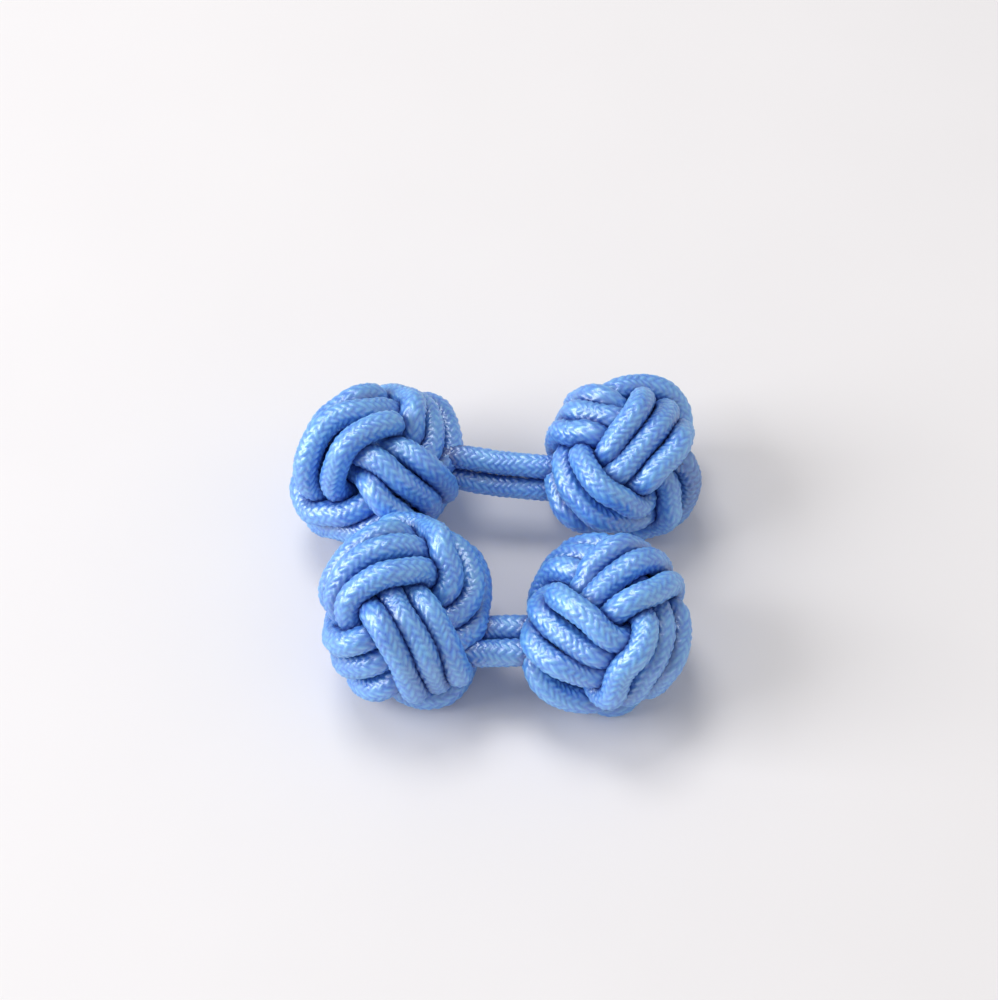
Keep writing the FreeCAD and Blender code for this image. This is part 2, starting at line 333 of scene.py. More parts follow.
OUTLINE = {
    "front_left": ((487, 614), (488, 572), (467, 542), (424, 518), (390, 518), (348, 543),
                   (321, 583), (325, 630), (338, 672), (361, 695), (400, 711), (450, 702), (480, 660)),
    "front_right": ((690, 626), (682, 590), (665, 556), (633, 537), (591, 535), (555, 549),
                    (528, 597), (522, 633), (534, 690), (562, 709), (600, 718), (650, 700), (683, 660)),
    "rear_left": ((465, 464), (460, 434), (448, 406), (420, 392), (364, 386), (340, 399),
                  (302, 436), (294, 464), (291, 496), (307, 524), (340, 540), (420, 535), (458, 495)),
    "rear_right": ((692, 458), (692, 433), (687, 405), (667, 381), (637, 377), (610, 382), (582, 388),
                   (550, 431), (547, 478), (560, 515), (600, 536), (666, 533), (698, 485)),
}
print("runs read off the photograph:", sum(len(runs) for runs in SEEN.values()))

# %% [markdown]
# ## Following the photograph
# A photograph tells where a run lies across and down, and nothing about its depth. So the seen points
# move the cord flat in the picture only, square to its own run, a part of the way in each round.
# Where a run ends in the photograph, the cord dives under its neighbour, so beyond the end it
# sinks slowly away from the camera. Cord that stands outside the knot's outline is moved back.

# %% Pulls of the photograph
RUN_REACH = 13
GUIDE = 0.25
GUIDE_SPREAD = 2.2
SINK = 0.015
SINK_POINTS = np.arange(2, 7)
HOLD = 0.5
FULL_CORD = 1.95


def run_windows(knot):
    """For each seen point: its pixel and the numbers of its pass's cord points; and each run's two ends."""
    pixels, windows, ends = [], [], []
    for (band, number), run in SEEN[knot].items():
        near = PASSES[number - 1] + np.arange(-RUN_REACH, RUN_REACH + 1)
        near = np.clip(near, 0, POINTS - 1) + BANDS.index(band) * POINTS
        first, last = len(pixels), len(pixels) + len(run) - 1
        ends.extend(((first, last), (last, first)))
        pixels.extend(run)
        windows.extend([near] * len(run))
    return np.array(pixels, float), np.array(windows), np.array(ends)


def guide(points, pixels, windows, ends):
    """Moves each pass, square to itself and flat in the picture, part of the way to its seen points.

    The nearest cord point gets the whole move and its neighbours less, by a bell curve. Beyond the two
    ends of a run the cord is out of sight, so the points there sink away from the camera.
    """
    flat, depth = to_picture(points)
    seen = flat[windows]
    row = np.arange(len(pixels))
    nearest = np.argmin(((seen - pixels[:, None]) ** 2).sum(axis=2), axis=1)
    gap = pixels - seen[row, nearest]
    way = seen[row, np.minimum(nearest + 1, 2 * RUN_REACH)] - seen[row, np.maximum(nearest - 1, 0)]
    way /= np.linalg.norm(way, axis=1, keepdims=True) + TINY
    gap -= (gap * way).sum(axis=1, keepdims=True) * way
    scale = GUIDE * depth[windows[row, nearest]][:, None] / FOCAL_PIXELS
    move = (gap[:, :1] * picture_right - gap[:, 1:] * picture_up) * scale
    bell = np.exp(-0.5 * ((np.arange(2 * RUN_REACH + 1) - nearest[:, None]) / GUIDE_SPREAD) ** 2)
    end, other = ends.T
    beyond = nearest[end][:, None] + np.sign(nearest[end] - nearest[other])[:, None] * SINK_POINTS
    inside = (beyond >= 0) & (beyond <= 2 * RUN_REACH)
    sunk = windows[end[:, None], np.clip(beyond, 0, 2 * RUN_REACH)][inside]
    sink = np.minimum(np.bincount(sunk, minlength=len(points)), 1) * SINK
    drawn = np.stack([np.bincount(windows.ravel(), (bell * move[:, axis:axis + 1]).ravel(), len(points))
                      for axis in range(3)], axis=1)
    return drawn - sink[:, None] * to_camera


def hold_in(points, knot):
    """Moves cord points that stand outside the knot's seen outline back to it, flat in the picture.

    The outline's reach about its own middle is read off by angle, less half a cord.
    """
    flat, depth = to_picture(points)
    rim = np.array(OUTLINE[knot], float)
    middle = rim.mean(axis=0)
    rim_angle = np.arctan2(*(rim - middle).T)
    order = np.argsort(rim_angle)
    rim_reach = np.linalg.norm(rim - middle, axis=1)[order]
    reach = np.linalg.norm(flat - middle, axis=1)
    allowed = np.interp(np.arctan2(*(flat - middle).T), rim_angle[order], rim_reach, period=2 * np.pi)
    scale = depth / FOCAL_PIXELS
    excess = np.maximum(reach * scale - allowed * scale + FULL_CORD / 2, 0) * HOLD
    way = (flat - middle) / reach[:, None]
    return (way[:, 1:] * picture_up - way[:, :1] * picture_right) * excess[:, None]


print("each pass looks for its run along", 2 * RUN_REACH + 1, "of", POINTS, "points")

# %% [markdown]
# ## Drawing the knot up
# A tied knot isn't a formula: the maker pulls the cord tight until the turns press on each other and
# bulge between. That is done here in small rounds on all points at once. The cord pulls straight,
# the seen runs draw it to their places, points that are closer than a pressed cord move apart, the
# core and the table push back, loose ends stay tucked in, and the cord shortens a little each
# round. A smooth seeded wander first makes the unseen turns of every knot its own.
# Drawing up leaves a knot a little flat towards the camera. It is stretched along the line of
# sight, which the photograph doesn't see, and set on the table. The left knots then touch, so
# their cords give way to each other.

# %% Drawing up
ROUNDS = 300
SHORTEN = 0.0010
PULL = 0.1
PRESSED = 0.92 * CORD
CORE_REACH = 2.0
FOOT = 0.85
WANDER = 0.18
WANDER_WAVES = (3, 7, 13)
TOUCH_WIDTHS = 1.35
OWN_WIDTHS = 1.9
PAIR_ROUNDS = 8
PUSH_PASSES = 2
PUSH_SHARE = 0.65
LENGTH_PASSES = 3
LENGTH_SHARE = 0.25
END_POINTS = 5
END_REACH = 3.3
END_SHARE = 0.3
FULL_DEPTH = 12.7
MOST_STRETCH = 1.13
LEAN_GAP = 0.07
LEAN_ROUNDS = 6


def wander(count, rng):
    """Slow random drift along a cord: three sine waves per axis with random phases."""
    along = np.linspace(0, 2 * np.pi, count)
    drift = np.zeros((count, 3))
    for waves in WANDER_WAVES:
        drift += np.sin(waves * along[:, None] + rng.uniform(0, 2 * np.pi, 3)) / math.sqrt(waves)
    return drift * WANDER


def close_pairs(points, band, place, apart):
    """Pairs of points that may touch: near each other, and not neighbours on one cord."""
    distance = np.linalg.norm(points[:, None] - points[None], axis=2)
    touching = distance < TOUCH_WIDTHS * CORD
    touching &= (band[:, None] != band[None]) | (np.abs(place[:, None] - place[None]) > apart)
    return np.nonzero(np.triu(touching, 1))


def push_apart(points, one, other):
    """Moves points that are closer than a pressed cord apart, each by its mean push over all it touches."""
    total = len(points)
    between = points[one] - points[other]
    distance = np.linalg.norm(between, axis=1) + TINY
    overlap = np.maximum(PRESSED - distance, 0)
    push = between * (overlap / distance)[:, None]
    hits = np.bincount(one, overlap > 0, total) + np.bincount(other, overlap > 0, total)
    move = np.stack([np.bincount(one, push[:, axis], total) - np.bincount(other, push[:, axis], total)
                     for axis in range(3)], axis=1)
    return points + move * (PUSH_SHARE / np.maximum(hits, 1))[:, None]


def keep_lengths(cords, length):
    """Brings neighbours on a cord to one distance in place: the even pairs, then the odd ones, and again."""
    for start in (0, 1) * LENGTH_PASSES:
        size = (cords.shape[1] - start) // 2
        front = cords[:, start:start + 2 * size:2]
        back = cords[:, start + 1:start + 2 * size:2]
        run = back - front
        far = np.linalg.norm(run, axis=2, keepdims=True)
        fix = run * (1 - length / far) * LENGTH_SHARE
        front += fix
        back -= fix


def draw_up(turns, knot, rng):
    """Tightens a knot's three cords in rounds of pull, guide, push apart, hold out and shorten."""
    middle = knot_middle[knot]
    runs = run_windows(knot)
    bands, count, _ = turns.shape
    total = bands * count
    points = turns.reshape(total, 3) + np.concatenate([wander(count, rng) for _ in range(bands)])
    band, place = np.divmod(np.arange(total), count)
    is_end = (place < END_POINTS) | (place >= count - END_POINTS)
    length = np.linalg.norm(np.diff(turns, axis=1), axis=2).mean()
    apart = int(OWN_WIDTHS * CORD / length)
    for step in range(ROUNDS):
        if step % PAIR_ROUNDS == 0:
            one, other = close_pairs(points, band, place, apart)
        length *= 1 - SHORTEN
        cords = points.reshape(bands, count, 3).copy()
        cords[:, 1:-1] += PULL * ((cords[:, 2:] + cords[:, :-2]) / 2 - cords[:, 1:-1])
        points = cords.reshape(total, 3)
        points = points + guide(points, *runs) + hold_in(points, knot)
        for _ in range(PUSH_PASSES):
            points = push_apart(points, one, other)
        outward = points - middle
        radius = np.linalg.norm(outward, axis=1)
        held = np.maximum(CORE_REACH / radius, 1)
        tucked = 1 - END_SHARE + END_SHARE * np.minimum(END_REACH / radius, 1)
        points = middle + outward * np.where(is_end, held * tucked, held)[:, None]
        points[:, 2] = np.maximum(points[:, 2], FOOT)
        cords = points.reshape(bands, count, 3)
        keep_lengths(cords, length)
        points = cords.reshape(total, 3)
    return points.reshape(bands, count, 3)


def fill_out(cords):
    """Stretches a knot along the line of sight to its full depth, and slides it that way onto the table.

    The photograph tells nothing about depth, and neither step moves anything in the picture.
    """
    depth = cords @ to_camera
    stretch = min((FULL_DEPTH - FULL_CORD) / np.ptp(depth), MOST_STRETCH)
    cords = cords + ((stretch - 1) * (depth - depth.mean()))[:, :, None] * to_camera
    return cords + (FOOT - cords[:, :, 2].min()) / to_camera[2] * to_camera


def press_apart(one, other):
    """Two knots that lean on each other give way: a point moves off by half of its deepest overlap."""
    between = one.reshape(-1, 1, 3) - other.reshape(1, -1, 3)
    distance = np.linalg.norm(between, axis=2)
    overlap = np.maximum(FULL_CORD + LEAN_GAP - distance, 0)
    move = between * (overlap / distance / 2)[:, :, None]
    one_move = move[np.arange(len(move)), distance.argmin(axis=1)]
    other_move = move[distance.argmin(axis=0), np.arange(move.shape[1])]
    return one + one_move.reshape(one.shape), other - other_move.reshape(other.shape)


knot_cords = {}
for seed, knot in enumerate(knot_middle):
    laid = square_knot @ knot_turn(knot).T + knot_middle[knot]
    knot_cords[knot] = fill_out(draw_up(laid, knot, np.random.default_rng(seed)))
    size = np.ptp(knot_cords[knot].reshape(-1, 3), axis=0) + CORD
    print(knot, "drawn up to", size.round(1), "mm")
for side in SIDES:
    pair = [f"{row}_{side}" for row in ROWS]
    for _ in range(LEAN_ROUNDS):
        knot_cords.update(zip(pair, press_apart(*(knot_cords[knot] for knot in pair))))

# %% [markdown]
# ## The braid on the cord
# The cord's sheath is a herringbone braid: twelve yarns wind one way and twelve the other, each over
# two and under two. Seen from outside this makes rows of small chevrons along the cord. A bump map
# could fake it, but the yarns are coarse enough to be real relief, so the tube's own radius
# follows them. Every float of yarn has a tone of its own, and a paler one is also less plump.

# %% Braid
YARNS = 12
LAY = 6.4
ARCH_SHARE = 0.7
PLUMP_SHARE = 0.3
HASH_ALONG_YARN = 12.9898
HASH_ROUND = 78.233
HASH_HAND = 37.7
HASH_SCALE = 43758.5453


def braid(around, along):
    """Height (0 groove, 1 crown), hand (-1 right, 1 left) and tone (0 to 1) of the yarn that shows.

    Counting yarns each way, right = yarns (around + along / lay) and left = yarns (around - along / lay).
    Their whole parts name a crossing, and the right-hand yarn is on top where their sum, by fours, is 0 or 1.
    The top yarn is round across its width and arched along the two crossings that it floats over.
    The tone is the fraction left of a large sine of the float's number, so it looks random.
    """
    right = YARNS * (around + along / LAY)
    left = YARNS * (around - along / LAY)
    right_yarn = np.floor(right)
    left_yarn = np.floor(left)
    crossing = np.mod(right_yarn + left_yarn, 4)
    on_top = crossing < 2
    across = np.where(on_top, right - right_yarn, left - left_yarn)
    float_run = np.where(on_top, crossing + left - left_yarn, crossing - 2 + right - right_yarn)
    height = np.sin(np.pi * across) * (1 - ARCH_SHARE + ARCH_SHARE * np.sin(np.pi * float_run / 2))
    right_start = np.where(on_top, right_yarn, right_yarn - crossing + 2)
    left_start = np.where(on_top, left_yarn - crossing, left_yarn)
    number = (right_start - left_start) * HASH_ALONG_YARN
    number = number + np.mod(right_start + left_start, 2 * YARNS) * HASH_ROUND
    tone = np.mod(np.sin(number + HASH_HAND * on_top) * HASH_SCALE, 1)
    return height * (1 - PLUMP_SHARE * tone), np.where(on_top, -1.0, 1.0), tone


print("yarns of one hand follow each other every", round(LAY / YARNS, 2), "mm along the cord")

# %% [markdown]
# ## The braided tube
# A tube is rings of points about the cord's path. Rings that follow a fixed direction would twist
# where the path bends and pull the chevrons askew, so that twist is summed up and turned back.
# Kept for the material are the braid's height and tone, the way the filaments run, which is
# what makes silk shine, and the crease: how close another turn of cord lies. The height gives
# painted shade in the grooves and a painted highlight on the crowns, and the crease gives painted shade.

# %% Braided tube
TABLE_TOP = 0.02
RELIEF = 0.12
BLUNT = 0.02
TWIST = 0.05
TWIST_LENGTH = 7.3
CROWD = 0.10
CROWD_LENGTH = 3.1
AROUND = 48
RING_STEP = 0.085


def smooth_path(points, step):
    """The path at even small steps, on cubic curves with the slopes of neighbouring points."""
    run = np.concatenate(([0], np.cumsum(np.linalg.norm(np.diff(points, axis=0), axis=1))))
    slopes = np.gradient(points, run, axis=0)
    along = np.linspace(0, run[-1], int(run[-1] / step) + 2)
    path = [smooth_through(along, run, points[:, axis], slopes[:, axis]) for axis in range(3)]
    return np.stack(path, axis=1), along


def braided_grid(points, outward, cord, relief=RELIEF):
    """Surface of a braided cord: rings of radius cord / 2 less relief about a path, round at both ends.

    outward gives a direction for every path point, and a ring set out from it would twist wherever the
    path bends. The twist from ring to ring is the angle between their first directions; summed along
    the cord and turned back, it leaves rings that do not twist. Soft cord lies flat where it rests on
    the table, so no point is lower than the table's top.
    """
    path, along = smooth_path(points, RING_STEP)
    way = np.gradient(path, axis=0)
    way /= np.linalg.norm(way, axis=1, keepdims=True)
    first = outward(path)
    first = first - (first * way).sum(axis=1, keepdims=True) * way
    first /= np.linalg.norm(first, axis=1, keepdims=True)
    second = np.cross(way, first)
    turned = np.arctan2((first[1:] * second[:-1]).sum(axis=1), (first[1:] * first[:-1]).sum(axis=1))
    turned = np.concatenate(([0], np.cumsum(turned)))[:, None]
    first, second = (np.cos(turned) * first - np.sin(turned) * second,
                     np.sin(turned) * first + np.cos(turned) * second)
    around = np.arange(AROUND) / AROUND
    twist = TWIST * np.sin(2 * np.pi * along / TWIST_LENGTH)
    crowd = CROWD * np.sin(2 * np.pi * along / CROWD_LENGTH)
    height, hand, tone = braid(around[None] + twist[:, None], (along + crowd)[:, None])
    to_end = np.minimum(along, along[-1] - along) / (cord / 2)
    dome = np.sqrt(1 - (1 - np.clip(to_end + BLUNT, 0, 1)) ** 2)
    radius = (cord / 2 - relief * (1 - height)) * dome[:, None]
    cosine = np.cos(2 * np.pi * around)[None, :, None]
    sine = np.sin(2 * np.pi * around)[None, :, None]
    ring = cosine * first[:, None] + sine * second[:, None]
    sideways = cosine * second[:, None] - sine * first[:, None]
    filament = way[:, None] + hand[:, :, None] * sideways * math.pi * cord / LAY
    filament /= np.linalg.norm(filament, axis=2, keepdims=True)
    place = path[:, None] + radius[:, :, None] * ring
    place[:, :, 2] = np.maximum(place[:, :, 2], TABLE_TOP)
    normal = np.cross(np.roll(place, -1, axis=1) - np.roll(place, 1, axis=1), np.gradient(place, axis=0))
    normal /= np.linalg.norm(normal, axis=2, keepdims=True) + TINY
    return {"place": place, "height": height, "tone": tone, "filament": filament, "along": along,
            "normal": normal, "crease_shade": np.zeros(height.shape)}


print("points round a cord:", AROUND, "and rings each", RING_STEP, "mm")

# %% [markdown]
# ## Creases: painted shade
# Where two turns press on each other, hardly any light gets in. Shadows alone leave that line too
# pale, because silky cord reflects so much. So each point of the surface keeps how close the
# next turn of cord lies, and the material paints a deeper blue shade there, on top of the
# rendered shadows.

# %% Creases: painted shade
FAR_OFF = 1e4
CREASE_FADE = 0.40


def crease_shade(surface, points, others):
    """Painted-shade mask, how deep in a crease each point lies: 1 where it touches another length of cord,
    else less.

    The gap is the distance to the nearest axis of other cord, or of the same cord a few widths on,
    less half a cord; the crease is exp(-gap / fade). Squares of distances come from one matrix product.
    """
    place = surface["place"]
    axis = np.concatenate((points, others))
    flat = place.reshape(-1, 3)
    square = (flat ** 2).sum(axis=1)[:, None] + (axis ** 2).sum(axis=1)[None] - 2 * flat @ axis.T
    square = square.reshape(*place.shape[:2], len(axis))
    step = surface["along"][-1] / (len(points) - 1)
    own = np.abs(surface["along"][:, None] - step * np.arange(len(points))[None]) < OWN_WIDTHS * CORD
    square[:, :, :len(points)] += np.where(own, FAR_OFF, 0)[:, None]
    gap = np.sqrt(np.maximum(square.min(axis=2), 0)) - FULL_CORD / 2
    return np.exp(-np.maximum(gap, 0) / CREASE_FADE)


print("a crease fades to a third over", CREASE_FADE, "mm of gap")

# %% [markdown]
# ## From rings to a mesh
# Neighbouring rings are joined by quads, with one flat face on each end. The numbers of all corners
# come from whole-array sums, so a tube of many thousand points is quick to make. A map of turns
# and millimetres goes with it, so that streaks can follow the cord.

# %% Tube mesh


def mesh_from_grid(name, surface, rows=slice(None)):
    """Closed tube from rings of points: a quad between neighbours, and one flat face on each end."""
    grid = surface["place"][rows]
    along = surface["along"][rows]
    rings, around, _ = grid.shape
    index = np.arange(rings * around).reshape(rings, around)
    nearby = np.roll(index, -1, axis=1)
    quads = np.stack((index[:-1], nearby[:-1], nearby[1:], index[1:]), axis=2).reshape(-1, 4)
    corners = np.concatenate((quads.ravel(), index[0][::-1], index[-1]))
    starts = np.concatenate((4 * np.arange(len(quads)), 4 * len(quads) + np.array((0, around))))
    mesh = bpy.data.meshes.new(name)
    mesh.vertices.add(rings * around)
    mesh.vertices.foreach_set("co", (grid * MM).astype(np.float32).ravel())
    mesh.loops.add(len(corners))
    mesh.loops.foreach_set("vertex_index", corners.astype(np.int32))
    mesh.polygons.add(len(starts))
    mesh.polygons.foreach_set("loop_start", starts.astype(np.int32))
    mesh.polygons.foreach_set("use_smooth", np.arange(len(starts)) < len(quads))
    mesh.update(calc_edges=True)
    mesh.validate()
    for key, kind, field in (("height", "FLOAT", "value"), ("tone", "FLOAT", "value"),
                             ("crease_shade", "FLOAT", "value"), ("filament", "FLOAT_VECTOR", "vector")):
        values = surface[key][rows].astype(np.float32).ravel()
        mesh.attributes.new(key, kind, "POINT").data.foreach_set(field, values)
    share = np.tile(np.arange(around) / around, (rings, 1))
    right_share = np.tile((np.arange(around) + 1) / around, (rings, 1))
    length = np.repeat(along[:, None], around, axis=1)
    u = np.stack((share[:-1], right_share[:-1], right_share[1:], share[1:]), axis=2).ravel()
    v = np.stack((length[:-1], length[:-1], length[1:], length[1:]), axis=2).ravel()
    ends_u = np.concatenate((share[0][::-1], share[-1]))
    ends_v = np.concatenate((length[0], length[-1]))
    layer = mesh.uv_layers.new(name="cord_lay")
    lay = np.stack((np.concatenate((u, ends_u)), np.concatenate((v, ends_v))), axis=1)
    layer.data.foreach_set("uv", lay.astype(np.float32).ravel())
    piece = bpy.data.objects.new(name, mesh)
    bpy.context.scene.collection.objects.link(piece)
    return piece


print("attributes that go with a tube: height, tone, crease, filament and the map cord_lay")

# %% [markdown]
# ## Materials
# The cord is viscose, a silky filament yarn: soft, mid blue, with a pale sheen where it faces the
# light. Each yarn is painted lighter on its crown and deep blue in the groove: a painted highlight
# and painted shade that follow the braid's relief.
# Colours are written as they look on a screen, and one function turns them to the linear
# values that the renderer works in. One more function adds a node with its settings and links.

# %% Material helpers


def linear(hex_colour):
    """Linear RGBA of an sRGB hex colour: c / 12.92 below 0.04045, else ((c + 0.055) / 1.055)^2.4."""
    value = np.array([int(hex_colour[start:start + 2], 16) for start in (1, 3, 5)]) / 255
    value = np.where(value <= 0.04045, value / 12.92, ((value + 0.055) / 1.055) ** 2.4)
    return (*value.tolist(), 1.0)


def add_node(tree, kind, settings=(), **inputs):
    """A shader node: settings are its properties, inputs its sockets, each a value or another socket."""
    node = tree.nodes.new(kind)
    for name, value in dict(settings).items():
        setattr(node, name, value)
    for name, value in inputs.items():
        socket = node.inputs[int(name[1:])] if name[0] == "i" and name[1:].isdigit() else node.inputs[name]
        if isinstance(value, bpy.types.NodeSocket):
            tree.links.new(value, socket)
        else:
            socket.default_value = value
    return node


def new_material(name):
    """A material with an empty node tree, and that tree."""
    material = bpy.data.materials.new(name)
    material.use_nodes = True
    material.node_tree.nodes.clear()
    return material, material.node_tree


print("mid grey on a screen is", round(linear("#808080")[0], 3), "of full light")

# %% Viscose cord
# The ramp from the groove colour to the crown colour: by the braid's height it is painted shade in the
# grooves and a painted highlight on the crowns; by streaks, dye patches and tones it is the cord's own
# colour.
CROWN_HIGHLIGHT_AND_PALE_DYE = "#7ac6ff"
GROOVE_SHADE_AND_DEEP_DYE = "#0854e8"
# painted shade: the deep blue mixed into the cord where another turn of cord lies close
PAINTED_CREASE_SHADE = "#042a90"
SHEEN = "#e6f4ff"
SHEEN_EDGE = "#bcd8fb"
CREASE_SHADE_SHARE = 0.92
FILAMENT = 0.10
FILAMENT_DEPTH = 0.03
DYE_PATCH = 4.0
# share of the braid's height in the level, which paints shade in grooves and a highlight on crowns
HEIGHT_SHADE_SHARE = 0.65
STREAK_SHARE = 0.3
PATCH_SHARE = 0.3
TONE_SHARE = 0.3
GROOVE_LEVEL = 0.2
FIBRE_DEPTH = 0.1


def viscose_cord():
    """Silky braided viscose: groove to crown colour by a level, and a painted deep blue shade in the creases.

    The level is the sum of the braid's height, filament streaks, patches of dye and the tone of each
    float, each by its share. The height's part paints shade in the grooves and a highlight on the
    crowns; the streaks, patches and tones are the cord's own. The lamps' highlight is drawn out across
    the filaments, so the two hands of yarn shine in turn.
    """
    material, tree = new_material("braided_viscose_cord")
    height = add_node(tree, "ShaderNodeAttribute", {"attribute_name": "height"})
    tone = add_node(tree, "ShaderNodeAttribute", {"attribute_name": "tone"})
    filament = add_node(tree, "ShaderNodeAttribute", {"attribute_name": "filament"})
    to_world = {"vector_type": "VECTOR", "convert_from": "OBJECT", "convert_to": "WORLD"}
    tangent = add_node(tree, "ShaderNodeVectorTransform", to_world, Vector=filament.outputs["Vector"])
    lay = add_node(tree, "ShaderNodeUVMap", {"uv_map": "cord_lay"})
    streak_scale = add_node(tree, "ShaderNodeMapping", Vector=lay.outputs["UV"],
                            Scale=(math.pi * CORD / FILAMENT, 1 / FILAMENT, 1.0))
    streak = add_node(tree, "ShaderNodeTexNoise", Vector=streak_scale.outputs["Vector"],
                      Scale=1.0, Detail=2.0)
    place = add_node(tree, "ShaderNodeTexCoord")
    patch = add_node(tree, "ShaderNodeTexNoise", Vector=place.outputs["Object"],
                     Scale=1 / (DYE_PATCH * MM), Detail=1.0)
    level = add_node(tree, "ShaderNodeMath", {"operation": "MULTIPLY"},
                     i0=height.outputs["Fac"], i1=HEIGHT_SHADE_SHARE).outputs["Value"]
    for part, share in ((streak, STREAK_SHARE), (patch, PATCH_SHARE), (tone, TONE_SHARE)):
        level = add_node(tree, "ShaderNodeMath", {"operation": "MULTIPLY_ADD"},
                         i0=part.outputs["Fac"], i1=share, i2=level).outputs["Value"]
    # groove to crown colour: painted shade and painted highlight by the height, the cord's own tones by the
    # rest
    ramp = add_node(tree, "ShaderNodeValToRGB", Fac=level)
    ramp.color_ramp.elements[0].position = GROOVE_LEVEL
    ramp.color_ramp.elements[0].color = linear(GROOVE_SHADE_AND_DEEP_DYE)
    ramp.color_ramp.elements[1].color = linear(CROWN_HIGHLIGHT_AND_PALE_DYE)
    # painted shade: the crease mask mixes in the deep blue
    shade = add_node(tree, "ShaderNodeAttribute", {"attribute_name": "crease_shade"})
    depth = add_node(tree, "ShaderNodeMath", {"operation": "MULTIPLY"},
                     i0=shade.outputs["Fac"], i1=CREASE_SHADE_SHARE)
    crease_shaded_colour = add_node(tree, "ShaderNodeMix", {"data_type": "RGBA"}, i0=depth.outputs["Value"],
                    i6=ramp.outputs["Color"], i7=linear(PAINTED_CREASE_SHADE))
    bump = add_node(tree, "ShaderNodeBump", Height=streak.outputs["Fac"],
                    Strength=0.25, Distance=FILAMENT_DEPTH * MM)
    shader = add_node(tree, "ShaderNodeBsdfPrincipled", **{
        "Base Color": crease_shaded_colour.outputs[2], "Roughness": 0.37, "Normal": bump.outputs["Normal"],
        "IOR": 1.95, "Specular IOR Level": 1.0, "Specular Tint": linear(SHEEN),
        "Anisotropic": 0.5, "Tangent": tangent.outputs["Vector"],
        "Sheen Weight": 0.10, "Sheen Roughness": 0.35, "Sheen Tint": linear(SHEEN_EDGE)})
    add_node(tree, "ShaderNodeOutputMaterial", Surface=shader.outputs["BSDF"])
    return material


def plain_fibre(name, dark, pale, grain, roughness):
    """Matte stuff that hardly shows: two tones mixed by a fine noise of a given grain in millimetres."""
    material, tree = new_material(name)
    place = add_node(tree, "ShaderNodeTexCoord")
    noise = add_node(tree, "ShaderNodeTexNoise", Vector=place.outputs["Object"],
                     Scale=1 / (grain * MM), Detail=3.0)
    ramp = add_node(tree, "ShaderNodeValToRGB", Fac=noise.outputs["Fac"])
    ramp.color_ramp.elements[0].color = linear(dark)
    ramp.color_ramp.elements[1].color = linear(pale)
    bump = add_node(tree, "ShaderNodeBump", Height=noise.outputs["Fac"],
                    Strength=0.4, Distance=FIBRE_DEPTH * MM)
    shader = add_node(tree, "ShaderNodeBsdfPrincipled", **{
        "Base Color": ramp.outputs["Color"], "Roughness": roughness, "Normal": bump.outputs["Normal"]})
    add_node(tree, "ShaderNodeOutputMaterial", Surface=shader.outputs["BSDF"])
    return material


cord_material = viscose_cord()
wadding = plain_fibre("cotton_wadding", "#1c3a80", "#3560b4", 0.4, 0.9)
latex = plain_fibre("latex_rubber", "#b9ad97", "#d8d0c0", 0.3, 0.6)
print("materials:", cord_material.name, wadding.name, latex.name)

# %% [markdown]
# ## The windings
# Every band becomes one braided tube along its drawn-up path. The ring of the tube starts on the
# side that faces away from the knot's middle, which keeps the chevrons running true along the
# cord. A tube stands for the plain solid of the same band and moves with its knot.

# %% Windings
for knot, cords in knot_cords.items():
    cords = list(cords)
    for band, points in zip(BANDS, cords):
        surface = braided_grid(points, lambda path: path - knot_middle[knot], FULL_CORD)
        others = np.concatenate([other for other in cords if other is not points])
        # mask for painted shade: how close the other bands of the knot lie
        surface["crease_shade"] = crease_shade(surface, points, others)
        piece = mesh_from_grid(f"{knot}_{band}_braid", surface)
        piece.data.materials.append(cord_material)
        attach(piece, knot + "_knot")
        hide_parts(f"{knot}_{band}_winding")
    print(knot, "windings:", len(piece.data.polygons), "faces each")

# %% [markdown]
# ## The link strands
# Two strands of the same cord run from the hollow of one knot to the hollow of the other. They bend
# at both necks and stretch between them, so each is cut into three lengths that meet ring to
# ring: a neck length at each knot, and a middle between them. The
# photograph gives the height of each strand in the picture. How far it stands out of the
# picture follows from its neighbour, because the two lie against each other.

# %% Link strands
STRAND = {"front": 2.0, "rear": 1.8}
STRAND_SEEN = {
    "near": ((478, 653), (522, 652)),
    "far": ((480, 630), (524, 629)),
    "lower": ((460, 478), (480, 482), (501, 485), (545, 489)),
    "upper": ((462, 457), (501, 463), (545, 467)),
}
TO_CAMERA_SIGN = {"near": 1, "far": -1, "lower": -1, "upper": 1}
THREAD = 0.7
INTO_KNOT = 3.2
BEND_SHARE = 0.3
STATIONS = 24
BESIDE_STEP = 0.2


def strand_rise(name, axis_points):
    """How far a strand lies above the link's axis in the picture, in mm, at each point of the axis."""
    flat, depth = to_picture(axis_points)
    across, down = np.array(STRAND_SEEN[name], float).T
    return (flat[:, 1] - np.interp(flat[:, 0], across, down)) * depth / FOCAL_PIXELS


def strand_path(row, name):
    """A strand's path: along the link, raised to its seen height, and one strand from its neighbour.

    With the rises of both strands known, the gap out of the picture is sqrt(strand^2 - (rise - rise)^2).
    """
    left = neck[row + "_left"]
    gap = np.linalg.norm(neck[row + "_right"] - left)
    axis_points = left + link_way[row] * np.linspace(-INTO_KNOT, gap + INTO_KNOT, STATIONS)[:, None]
    rises = [strand_rise(other, axis_points) for other in ROWS[row]]
    apart = np.sqrt(np.maximum(STRAND[row] ** 2 - (rises[0] - rises[1]) ** 2, 0))
    out = apart / 2 * TO_CAMERA_SIGN[name]
    rise = rises[ROWS[row].index(name)]
    return axis_points + rise[:, None] * picture_up + out[:, None] * to_camera


def upward(path):
    """The same upward direction for every point of a path."""
    return np.tile((0.0, 0.0, 1.0), (len(path), 1))


